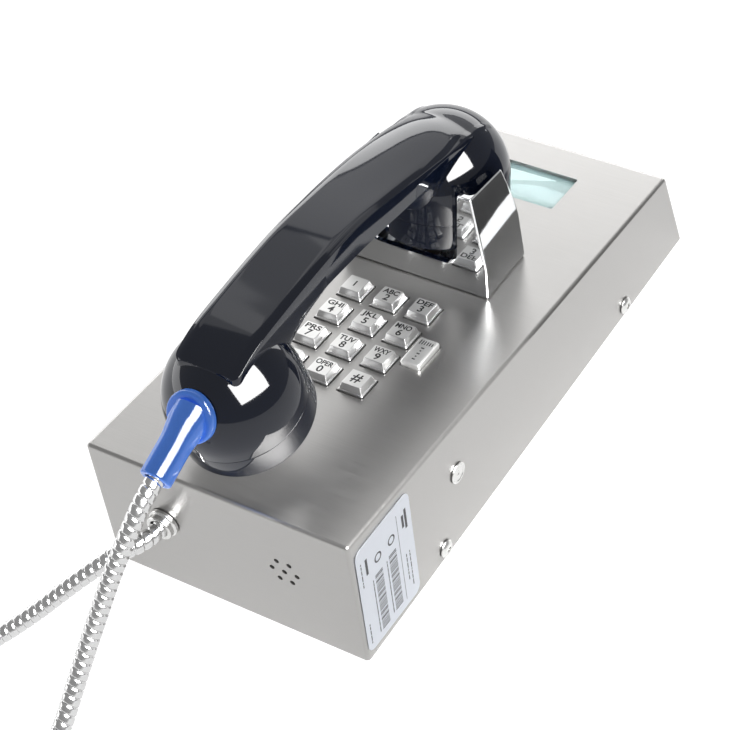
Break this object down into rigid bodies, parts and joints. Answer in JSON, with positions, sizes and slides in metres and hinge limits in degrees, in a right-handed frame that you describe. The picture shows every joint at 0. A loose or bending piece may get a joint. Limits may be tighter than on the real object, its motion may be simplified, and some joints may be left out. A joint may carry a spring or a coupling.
{
  "type": "wall payphone",
  "caption": "Compact wall payphone: wedge-shaped brushed steel case with a metal keypad, small display window, chrome cradle and a black handset on a steel-armoured cord.",
  "frame": {"origin": "middle of the back plate's wall face; the phone lies on its back", "axes": "+Z out of the wall side towards the user, +Y towards the display end (up when hung on a wall), +X to the user's right"},
  "size_m": [0.1846, 0.4536, 0.1365],
  "materials": {
    "case_steel": "satin brushed stainless steel",
    "fastener_steel": "bright",
    "spring_steel": "plain",
    "cradle_chrome": "polished chrome plate",
    "key_metal": "brushed tops with bright bevels and black legends",
    "cord_steel": "bright interlocked armour",
    "handset_black": "high gloss",
    "boot_blue": "smooth, slightly glossy",
    "black_plastic": "matte",
    "grey_rubber": "matte",
    "board_green": "satin",
    "window_clear": "clear",
    "display_grey": "satin",
    "label_film": "satin"
  },
  "bodies": {
    "case": {"front_cover": "case_steel", "back_plate": "case_steel", "cover_screw_left_near": "fastener_steel", "cover_screw_left_far": "fastener_steel", "cover_screw_right_near": "fastener_steel", "cover_screw_right_far": "fastener_steel", "side_plug": "fastener_steel", "label": "label_film", "cradle": "cradle_chrome", "hook_bracket": "fastener_steel", "hook_pin": "spring_steel", "hook_spring": "spring_steel", "hook_switch": "black_plastic", "keypad_frame": "black_plastic", "keypad_mat": "grey_rubber", "keypad_board": "board_green", "lcd_window": "window_clear", "lcd_module": "display_grey", "lcd_board": "board_green", "main_board": "board_green", "ringer": "black_plastic", "cord_gland": "cradle_chrome", "gland_nut": "fastener_steel", "cord": "cord_steel"},
    "handset": {"handset_shell": "handset_black", "mouth_cap": "handset_black", "ear_cap": "handset_black", "transmitter_capsule": "black_plastic", "receiver_capsule": "black_plastic", "handset_boot": "boot_blue"},
    "hook_lever": {"hook_lever": "spring_steel"},
    "key_1": {"key_1": "key_metal"},
    "key_2": {"key_2": "key_metal"},
    "key_3": {"key_3": "key_metal"},
    "key_4": {"key_4": "key_metal"},
    "key_5": {"key_5": "key_metal"},
    "key_6": {"key_6": "key_metal"},
    "key_7": {"key_7": "key_metal"},
    "key_8": {"key_8": "key_metal"},
    "key_9": {"key_9": "key_metal"},
    "key_star": {"key_star": "key_metal"},
    "key_0": {"key_0": "key_metal"},
    "key_hash": {"key_hash": "key_metal"},
    "volume_key": {"volume_key": "key_metal"}
  },
  "joints": [
    {"name": "handset_lift", "type": "slide", "parent": "case", "child": "handset", "axis": [0, 0.0882, 0.9961], "range_m": [0, 0.09]},
    {"name": "hook_tilt", "type": "hinge", "parent": "case", "child": "hook_lever", "pos_m": [-0.0012, 0.02456, 0.04669], "axis": [1, 0, 0], "range_deg": [0, 10]},
    {"name": "press_1", "type": "slide", "parent": "case", "child": "key_1", "axis": [0, -0.0882, -0.9961], "range_m": [0, 0.0012], "stiffness_N_per_m": 900, "springref_m": -0.0006},
    {"name": "press_2", "type": "slide", "parent": "case", "child": "key_2", "axis": [0, -0.0882, -0.9961], "range_m": [0, 0.0012], "stiffness_N_per_m": 900, "springref_m": -0.0006},
    {"name": "press_3", "type": "slide", "parent": "case", "child": "key_3", "axis": [0, -0.0882, -0.9961], "range_m": [0, 0.0012], "stiffness_N_per_m": 900, "springref_m": -0.0006},
    {"name": "press_4", "type": "slide", "parent": "case", "child": "key_4", "axis": [0, -0.0882, -0.9961], "range_m": [0, 0.0012], "stiffness_N_per_m": 900, "springref_m": -0.0006},
    {"name": "press_5", "type": "slide", "parent": "case", "child": "key_5", "axis": [0, -0.0882, -0.9961], "range_m": [0, 0.0012], "stiffness_N_per_m": 900, "springref_m": -0.0006},
    {"name": "press_6", "type": "slide", "parent": "case", "child": "key_6", "axis": [0, -0.0882, -0.9961], "range_m": [0, 0.0012], "stiffness_N_per_m": 900, "springref_m": -0.0006},
    {"name": "press_7", "type": "slide", "parent": "case", "child": "key_7", "axis": [0, -0.0882, -0.9961], "range_m": [0, 0.0012], "stiffness_N_per_m": 900, "springref_m": -0.0006},
    {"name": "press_8", "type": "slide", "parent": "case", "child": "key_8", "axis": [0, -0.0882, -0.9961], "range_m": [0, 0.0012], "stiffness_N_per_m": 900, "springref_m": -0.0006},
    {"name": "press_9", "type": "slide", "parent": "case", "child": "key_9", "axis": [0, -0.0882, -0.9961], "range_m": [0, 0.0012], "stiffness_N_per_m": 900, "springref_m": -0.0006},
    {"name": "press_star", "type": "slide", "parent": "case", "child": "key_star", "axis": [0, -0.0882, -0.9961], "range_m": [0, 0.0012], "stiffness_N_per_m": 900, "springref_m": -0.0006},
    {"name": "press_0", "type": "slide", "parent": "case", "child": "key_0", "axis": [0, -0.0882, -0.9961], "range_m": [0, 0.0012], "stiffness_N_per_m": 900, "springref_m": -0.0006},
    {"name": "press_hash", "type": "slide", "parent": "case", "child": "key_hash", "axis": [0, -0.0882, -0.9961], "range_m": [0, 0.0012], "stiffness_N_per_m": 900, "springref_m": -0.0006},
    {"name": "press_volume", "type": "slide", "parent": "case", "child": "volume_key", "axis": [0, -0.0882, -0.9961], "range_m": [0, 0.0012], "stiffness_N_per_m": 900, "springref_m": -0.0006}
  ],
  "couplings": [
    {"joint": "hook_tilt", "follows": "handset_lift", "rad_per_m": 1.93}
  ]
}
